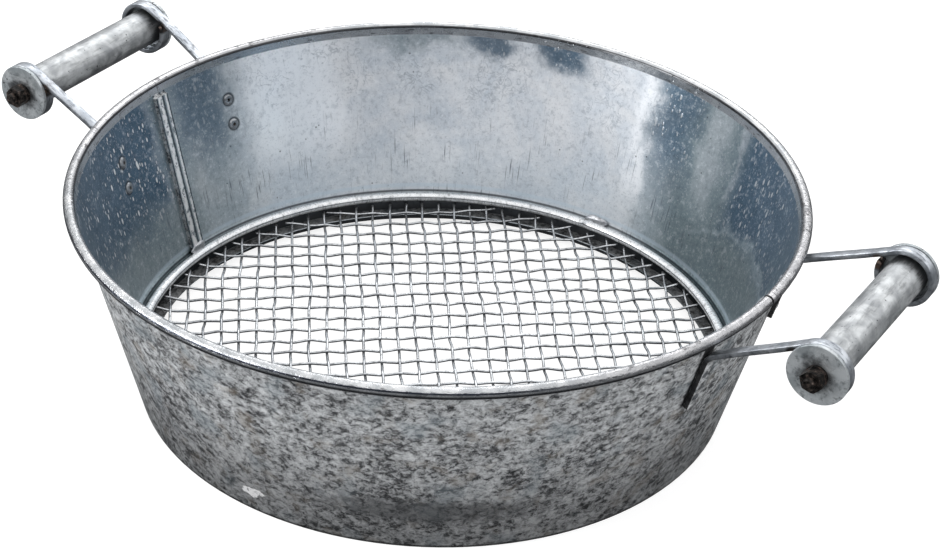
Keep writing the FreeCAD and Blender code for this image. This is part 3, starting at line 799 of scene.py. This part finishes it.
def sweep(stations, section, vertices, faces):
    """Carries a closed section along stations of (centre, across, up), and caps both ends."""
    first = len(vertices)
    count = len(section)
    for centre, across, up in stations:
        for a, b in section:
            vertices.append(centre + across * a + up * b)
    for ring in range(len(stations) - 1):
        start = first + ring * count
        for k in range(count):
            after = (k + 1) % count
            faces.append((start + k, start + after, start + count + after, start + count + k))
    faces.append(tuple(reversed(range(first, first + count))))
    last = first + (len(stations) - 1) * count
    faces.append(tuple(range(last, last + count)))


def round_section(radius, sides):
    """A circle as a closed section."""
    turn = 2 * math.pi / sides
    return [(radius * math.cos(k * turn), radius * math.sin(k * turn)) for k in range(sides)]


def rounded_bar(width, thickness, corner, steps=3):
    """A rectangle with rounded corners as a closed section."""
    points = []
    for quarter, (sx, sy) in enumerate(((1, 1), (-1, 1), (-1, -1), (1, -1))):
        centre = (sx * (width / 2 - corner), sy * (thickness / 2 - corner))
        for step in range(steps + 1):
            angle = (quarter + step / steps) * math.pi / 2
            points.append((centre[0] + corner * math.cos(angle), centre[1] + corner * math.sin(angle)))
    return points


# The two sets of woven wires: their spacing and number, the direction they run in, how far the set
# is shifted off the tub's middle, and how far each wire rises and falls
WEFT = {
    "pitch": 10.95 * MM,
    "count": 27,
    "angle": math.radians(38.0),
    "shift": 2.6 * MM,
    "crimp": 0.50 * MM,
}
WARP = {
    "pitch": 9.43 * MM,
    "count": 31,
    "angle": math.radians(125.8),
    "shift": -0.8 * MM,
    "crimp": 0.95 * MM,
}
# How far out the wires reach, and where and by how much their ends rise to the hoop
WIRE_REACH = 154.2 * MM
EDGE_START = 141 * MM
EDGE_WIDTH = 13 * MM
END_RISE = 2.8 * MM
# A wire's sides, and its steps from one crossing to the next
WIRE_SIDES = 8
CROSSING_STEPS = 7
# The shape of each wire's wave: 1 is a zigzag, and near 0 a sine
WAVE_SHARPNESS = 0.94


def wire_line(wires, index):
    """A wire's direction, the direction across it, and its distance from the tub's axis."""
    way = polar(wires["angle"], 1, 0)
    across = UP.cross(way)
    return way, across, (index - (wires["count"] - 1) / 2) * wires["pitch"] + wires["shift"]


def woven_wires(wires, others, sense, section):
    """One direction of the weave: each wire passes over and under those that it crosses."""
    vertices, faces = [], []
    _, other_across, _ = wire_line(others, 0)
    for index in range(wires["count"]):
        way, across, offset = wire_line(wires, index)
        half = math.sqrt(max(0.0, WIRE_REACH ** 2 - (abs(offset) + WIRE_RADIUS) ** 2))
        ends = (-half + rng.uniform(0, 1.4) * MM, half - rng.uniform(0, 1.4) * MM)
        steps = int((ends[1] - ends[0]) / (others["pitch"] / CROSSING_STEPS))
        stations = []
        for step in range(steps + 1):
            along = ends[0] + (ends[1] - ends[0]) * step / steps
            flat = across * offset + way * along
            # Which crossing is near, as a fractional index of the other set's wires
            from_middle = (flat.dot(other_across) - others["shift"]) / others["pitch"]
            crossing = from_middle + (others["count"] - 1) / 2
            wave = WAVE_SHARPNESS * math.cos(math.pi * (crossing + index))
            wave = math.asin(wave) / math.asin(WAVE_SHARPNESS)
            wander = noise.noise(Vector((flat.x * 28, flat.y * 28, sense * 5.0)))
            local = noise.noise(Vector((flat.x * 95, flat.y * 95, sense * 9.0 + 3)))
            edge = max(0.0, (flat.length - EDGE_START) / EDGE_WIDTH)
            lift = sense * wires["crimp"] * wave * (1 - 0.6 * edge) + END_RISE * min(1.0, edge) ** 1.6
            sideways = across * (wander * 1.3 + local * 0.55) * MM
            height = MESH_HEIGHT + lift + local * 0.1 * MM
            stations.append(flat + sideways + UP * height)
        frames = []
        for k, centre in enumerate(stations):
            tangent = (stations[min(k + 1, steps)] - stations[max(k - 1, 0)]).normalized()
            side = UP.cross(tangent).normalized()
            frames.append((centre, side, tangent.cross(side)))
        sweep(frames, section, vertices, faces)
    return vertices, faces


def add_mesh(material):
    """The sieve's bottom: weft wires that go over where the warp wires go under."""
    section = round_section(WIRE_RADIUS, WIRE_SIDES)
    for name, wires, others, sense in (("weft_wires", WEFT, WARP, 1), ("warp_wires", WARP, WEFT, -1)):
        vertices, faces = woven_wires(wires, others, sense, section)
        add_piece(name, vertices, faces, material, "zinc_wire", "mesh_" + name)


# The hoop's butted ends: where they are round the tub, and the gap between them
HOOP_OPEN_AT = math.radians(88.4)
HOOP_GAP = 0.4 * MM
HOOP_STEPS = 300
HOOP_SIDES = 20


def add_ring(material):
    """The hoop, a little out of true, with its ends butted near the back."""
    vertices, faces, stations = [], [], []
    gap = HOOP_GAP / RING_RADIUS
    for step in range(HOOP_STEPS + 1):
        angle = HOOP_OPEN_AT + gap / 2 + (2 * math.pi - gap) * step / HOOP_STEPS
        spot = polar(angle, 1.6, 0)
        drift = noise.noise(spot) * 0.175 * MM
        rise = noise.noise(spot + Vector((0, 0, 4))) * 0.5 * MM
        centre = polar(angle, RING_RADIUS - 0.2 * MM + drift, RING_HEIGHT + rise)
        stations.append((centre, -polar(angle, 1, 0), UP))
    sweep(stations, round_section(RING_WIRE_RADIUS, HOOP_SIDES), vertices, faces)
    add_piece("hoop", vertices, faces, material, "zinc_wire", "mesh_retaining_ring")


# Each tack's place in degrees round the tub and its size; then its height, and its half width out
# from the hoop, along it and upwards in millimetres
SOLDER_TACKS = ((86.0, 1.15), (180, 1.0), (-101.5, 0.9), (0, 0.9))
TACK_HEIGHT = 17 * MM
TACK_HALF_WIDTHS = (1.5, 6.4, 3.0)
TACK_RINGS = 14
TACK_SIDES = 20


def add_solder(material):
    """Lumps of solder between the hoop and the wall."""
    vertices, faces = [], []
    outward, sideways, upward = TACK_HALF_WIDTHS
    for degrees, size in SOLDER_TACKS:
        angle = math.radians(degrees)
        radial = polar(angle, 1, 0)
        along = UP.cross(radial)
        centre = polar(angle, outer_wall(0.0175) - 2.4 * MM, TACK_HEIGHT)
        start = len(vertices)
        for ring in range(TACK_RINGS + 1):
            tilt = math.pi * ring / TACK_RINGS
            for side in range(TACK_SIDES):
                way = polar(2 * math.pi * side / TACK_SIDES, math.sin(tilt), math.cos(tilt))
                lump = 1 + 0.28 * noise.noise(way * 1.7 + Vector((degrees, 0, 0)))
                shape = radial * way.x * outward + along * way.y * sideways + UP * way.z * upward
                vertices.append(centre + shape * (lump * size * MM))
        for ring in range(TACK_RINGS):
            for side in range(TACK_SIDES):
                a = start + ring * TACK_SIDES + side
                b = start + ring * TACK_SIDES + (side + 1) % TACK_SIDES
                faces.append((a, a + TACK_SIDES, b + TACK_SIDES, b))
    add_piece("solder", vertices, faces, material, "solder", "solder_tacks")


# The straps' steps along the leg, the bend, the arm and the eye, and the bend's radius
LEG_STEPS = 12
BEND_STEPS = 10
ARM_STEPS = 24
EYE_STEPS = 48
BEND_RADIUS = 7 * MM
# How far round the eye curls past the arm, before the arm's own rise
EYE_CURL = math.radians(290)


def strap_stations(leg_y, eye_y, rise):
    """Points along the middle of a strap on the +X side, each with the direction of its width."""
    seat_z = sum(RIVET_HEIGHTS) / 2
    seat, normal = wall_seat(leg_y, seat_z)
    middle = seat + normal * LEG_LIFT
    leg_way = FORE.cross(normal).normalized()
    leg_way *= math.copysign(1, leg_way.z)
    leg_wide = normal.cross(leg_way).normalized()
    leg_wide *= math.copysign(1, leg_wide.y)
    arm_way = Vector((math.cos(rise), 0, math.sin(rise)))
    arm_up = Vector((-math.sin(rise), 0, math.cos(rise)))
    eye = Vector((GRIP_X, eye_y, GRIP_Z))
    arm_end = eye + arm_up * EYE_RADIUS
    corner = middle + leg_way * ((arm_end - middle).dot(arm_up) / leg_way.dot(arm_up))
    turn = math.acos(leg_way.dot(arm_way))
    cut_back = BEND_RADIUS * math.tan(turn / 2)
    places = []
    leg_start = middle + leg_way * ((LEG_BOTTOM - seat_z) / leg_way.z)
    leg_end = corner - leg_way * cut_back
    for step in range(LEG_STEPS):
        places.append((leg_start.lerp(leg_end, step / LEG_STEPS), leg_wide))
    bend_centre = leg_end + Vector((leg_way.z, 0, -leg_way.x)) * BEND_RADIUS
    leg_turn = math.atan2(leg_way.z, leg_way.x)
    for step in range(BEND_STEPS + 1):
        share = step / BEND_STEPS
        angle = leg_turn - turn * share
        spot = bend_centre + Vector((-math.sin(angle), 0, math.cos(angle))) * BEND_RADIUS
        places.append((spot, leg_wide.lerp(FORE, share)))
    arm_start = places[-1][0]
    for step in range(1, ARM_STEPS):
        share = step / ARM_STEPS
        lean = share * share * (3 - 2 * share)
        spot = arm_start.lerp(arm_end, share)
        spot.y = arm_start.y + (arm_end.y - arm_start.y) * lean
        places.append((spot, FORE))
    eye_angle = EYE_CURL + rise
    for step in range(EYE_STEPS + 1):
        angle = math.pi / 2 + rise - eye_angle * step / EYE_STEPS
        places.append((eye + Vector((math.cos(angle), 0, math.sin(angle))) * EYE_RADIUS, FORE))
    return places


def add_brackets(material):
    """The four straps, slightly uneven in section. Those at -X are turned half round from +X."""
    section = rounded_bar(STRAP_WIDTH, STRAP_THICKNESS, 0.55 * MM)
    for side, flip in SIDES:
        turned = Matrix.Rotation(0 if side == "right" else math.pi, 3, "Z")
        for end in ENDS:
            corner = f"{side}_{end}"
            places = strap_stations(flip * LEG_Y[corner], flip * EYE_Y[end], ARM_RISE[corner])
            stations = []
            for k, (spot, wide) in enumerate(places):
                before = places[max(k - 1, 0)][0]
                after = places[min(k + 1, len(places) - 1)][0]
                along = (after - before).normalized()
                wide = (wide - along * wide.dot(along)).normalized()
                thick = along.cross(wide)
                dent = 1 - 0.06 * abs(noise.noise(spot * 300 + Vector((flip * 9, 0, 0))))
                stations.append((turned @ spot, turned @ wide * dent, turned @ thick * dent))
            vertices, faces = [], []
            sweep(stations, section, vertices, faces)
            add_piece(f"strap_{corner}", vertices, faces, material, "zinc_strap", f"bracket_{corner}")


# Each plug's rings from its back to its dished face: radius, and depth in from the wall's outside
PLUG_RINGS = (
    (1.45 * MM, 1.30 * MM),
    (1.45 * MM, 1.68 * MM),
    (1.2 * MM, 1.66 * MM),
    (0.5 * MM, 1.62 * MM),
)
PLUG_SIDES = 18


def add_plug(seat, normal, turned, vertices, faces):
    """One closed plug at a rivet's seat, facing the tub's inside."""
    across = normal.orthogonal().normalized()
    other = normal.cross(across)
    start = len(vertices)
    for radius, depth in PLUG_RINGS:
        for k in range(PLUG_SIDES):
            turn = 2 * math.pi * k / PLUG_SIDES
            way = across * math.cos(turn) + other * math.sin(turn)
            vertices.append(turned @ (seat + way * radius - normal * depth))
    last = start + (len(PLUG_RINGS) - 1) * PLUG_SIDES
    for first in range(start, last, PLUG_SIDES):
        for k in range(PLUG_SIDES):
            a = first + k
            b = first + (k + 1) % PLUG_SIDES
            faces.append((a, a + PLUG_SIDES, b + PLUG_SIDES, b))
    faces.append(tuple(range(start, start + PLUG_SIDES)))
    faces.append(tuple(reversed(range(last, last + PLUG_SIDES))))


def add_rivet_hole_shade(material):
    """Dark plugs in the holes of the rivets' heads, on the tub's inside: painted shade for the deep
    holes.
    """
    vertices, faces = [], []
    for side, flip in SIDES:
        turned = Matrix.Rotation(0 if side == "right" else math.pi, 3, "Z")
        for end in ENDS:
            for z in RIVET_HEIGHTS:
                seat, normal = wall_seat(flip * LEG_Y[f"{side}_{end}"], z)
                add_plug(seat, normal, turned, vertices, faces)
    add_piece("rivet_hole_shade", vertices, faces, material, "rivet_metal")


def dress_nodes(prefixes, material):
    """Puts a material on the frame's own nodes whose names start with one of the prefixes."""
    for name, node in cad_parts.items():
        if name.startswith(prefixes):
            for slot in node.material_slots:
                slot.material = material


# ---------------- the scene
bpy.context.scene.view_settings.view_transform = "Standard"
add_camera()
add_world()
add_floor()
add_softbox("back_softbox", (-0.6, 1.4, 1.5), (0, 0, 0.05), (1.2, 0.8), 8)
add_softbox("right_back_softbox", (0.85, 1.75, 0.85), (0, 0, 0.06), (1.9, 0.9), 4)
add_softbox("front_softbox", (-1.3, -1.5, 0.75), (0, 0, 0.05), (1.2, 0.8), 22)

tub_zinc = tub_material()
wire_zinc = bright_zinc(
    "zinc_wire", light=(0.74, 0.76, 0.78), dark=(0.42, 0.43, 0.45), streak=(1, 1, 1),
    rough=(0.20, 0.38), under=(0.10, 0.80))
ring_zinc = bright_zinc(
    "zinc_ring", light=(0.96, 0.97, 0.98), dark=(0.76, 0.78, 0.80), streak=(1, 1, 0.3),
    rough=(0.24, 0.40), nick=0.4, metallic=0.6, under=(-0.75, 0.0), line=0.30)
strap_zinc = strap_finish()
tube_zinc = bright_zinc(
    "zinc_tube", light=(0.60, 0.62, 0.63), dark=(0.33, 0.345, 0.36), streak=(1, 0.16, 1),
    rough=(0.34, 0.50), nick=1.0, metallic=0.65, under=(-0.50, 0.15), ends=(0.0395, 0.0465),
    streaked=0.42)
washer_zinc = bright_zinc(
    "zinc_washer", light=(0.64, 0.67, 0.69), dark=(0.34, 0.375, 0.395), streak=(1, 1, 1),
    rough=(0.34, 0.52), nick=1.0, metallic=0.7, painted_nut_shadow=0.85)
rust = rusty_steel()
rivet_zinc = bright_zinc(
    "rivet_metal", light=(0.46, 0.48, 0.51), dark=(0.22, 0.235, 0.25), streak=(1, 1, 1),
    rough=(0.25, 0.4))
solder_zinc = bright_zinc(
    "solder", light=(0.62, 0.63, 0.65), dark=(0.36, 0.37, 0.39), streak=(1, 1, 1),
    rough=(0.28, 0.45))
dress_nodes(("wall_sheet",), tub_zinc)
dress_nodes(("rim_wire",), wire_zinc)
dress_nodes(("grip_tube",), tube_zinc)
dress_nodes(("washer",), washer_zinc)
dress_nodes(("grip_bolt", "grip_nut"), rust)
dress_nodes(("rivets",), rivet_zinc)
# Dark plugs as painted shade in the rivets' holes
add_rivet_hole_shade(rust)
add_mesh(wire_zinc)
add_ring(ring_zinc)
add_solder(solder_zinc)
add_brackets(strap_zinc)
